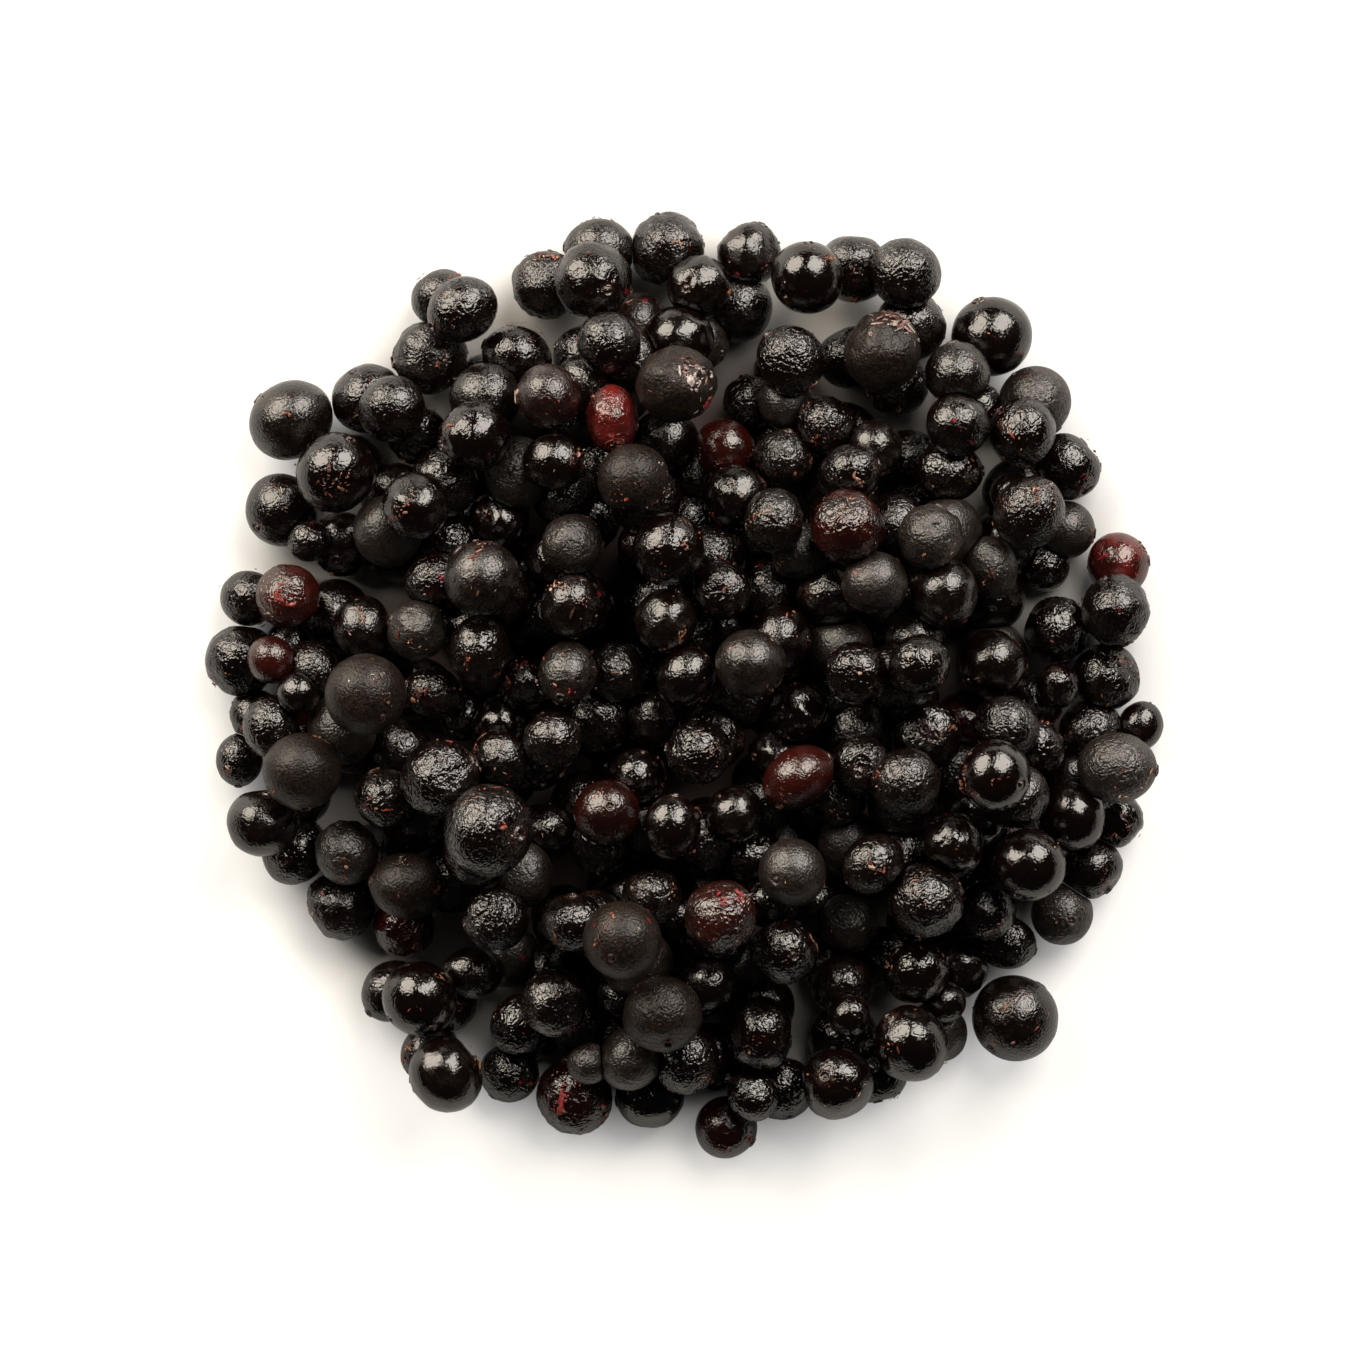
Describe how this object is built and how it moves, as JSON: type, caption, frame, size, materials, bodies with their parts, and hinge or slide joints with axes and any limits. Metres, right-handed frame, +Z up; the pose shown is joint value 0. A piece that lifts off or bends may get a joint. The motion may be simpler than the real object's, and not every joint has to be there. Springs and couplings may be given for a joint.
{
  "type": "elderberry cluster",
  "caption": "Low round heap of small dark elderberries, some frosted, some glossy and a few wine red, many frozen to their neighbours.",
  "frame": {"origin": "middle of the heap's bounding box, on the surface that it lies on", "axes": "+Z up from the surface; +Y towards the heap's far rim as seen from above with +X to the right"},
  "size_m": [0.0834, 0.082, 0.0217],
  "materials": {
    "clump_skin": "near-black fruit skin, satin",
    "glossy_skin": "black fruit skin, wet and glossy",
    "frosted_skin": "grey-brown fruit skin, matte with frost",
    "wine_skin": "dark wine-red fruit skin, satin",
    "split_skin": "black-red fruit skin with a red split",
    "lone_skin": "black fruit skin, dull satin"
  },
  "bodies": {
    "root": {"berry_clump_01": "clump_skin", "berry_clump_02": "clump_skin", "berry_clump_03": "clump_skin", "berry_clump_04": "clump_skin", "berry_clump_05": "clump_skin", "berry_clump_06": "clump_skin", "berry_clump_07": "clump_skin", "berry_clump_08": "clump_skin", "berry_clump_09": "clump_skin", "berry_clump_10": "clump_skin", "berry_clump_11": "clump_skin", "berry_clump_12": "clump_skin", "berry_clump_13": "clump_skin", "berry_clump_14": "clump_skin", "berry_clump_15": "clump_skin", "berry_clump_16": "clump_skin", "berry_clump_17": "clump_skin", "berry_clump_18": "clump_skin", "berry_clump_19": "clump_skin", "berry_clump_20": "clump_skin", "berry_clump_21": "clump_skin", "berry_clump_22": "clump_skin", "berry_clump_23": "clump_skin", "berry_clump_24": "clump_skin", "frosted_berry_01": "frosted_skin", "frosted_berry_02": "frosted_skin", "frosted_berry_03": "frosted_skin", "frosted_berry_04": "frosted_skin", "frosted_berry_05": "frosted_skin", "frosted_berry_06": "frosted_skin", "frosted_berry_07": "frosted_skin", "frosted_berry_08": "frosted_skin", "frosted_berry_09": "frosted_skin", "frosted_berry_10": "frosted_skin", "frosted_berry_11": "frosted_skin", "frosted_berry_12": "frosted_skin", "glossy_berry_01": "glossy_skin", "glossy_berry_02": "glossy_skin", "glossy_berry_03": "glossy_skin", "glossy_berry_04": "glossy_skin", "glossy_berry_05": "glossy_skin", "glossy_berry_06": "glossy_skin", "glossy_berry_07": "glossy_skin", "glossy_berry_08": "glossy_skin", "glossy_berry_09": "glossy_skin", "glossy_berry_10": "glossy_skin", "glossy_berry_11": "glossy_skin", "lone_berry_01": "lone_skin", "lone_berry_02": "lone_skin", "split_berry_01": "split_skin", "wine_berry_01": "wine_skin", "wine_berry_02": "wine_skin", "wine_berry_03": "wine_skin", "wine_berry_04": "wine_skin", "wine_berry_05": "wine_skin", "wine_berry_06": "wine_skin", "wine_berry_07": "wine_skin", "wine_berry_08": "wine_skin", "wine_berry_09": "wine_skin", "wine_berry_10": "wine_skin"}
  },
  "joints": []
}
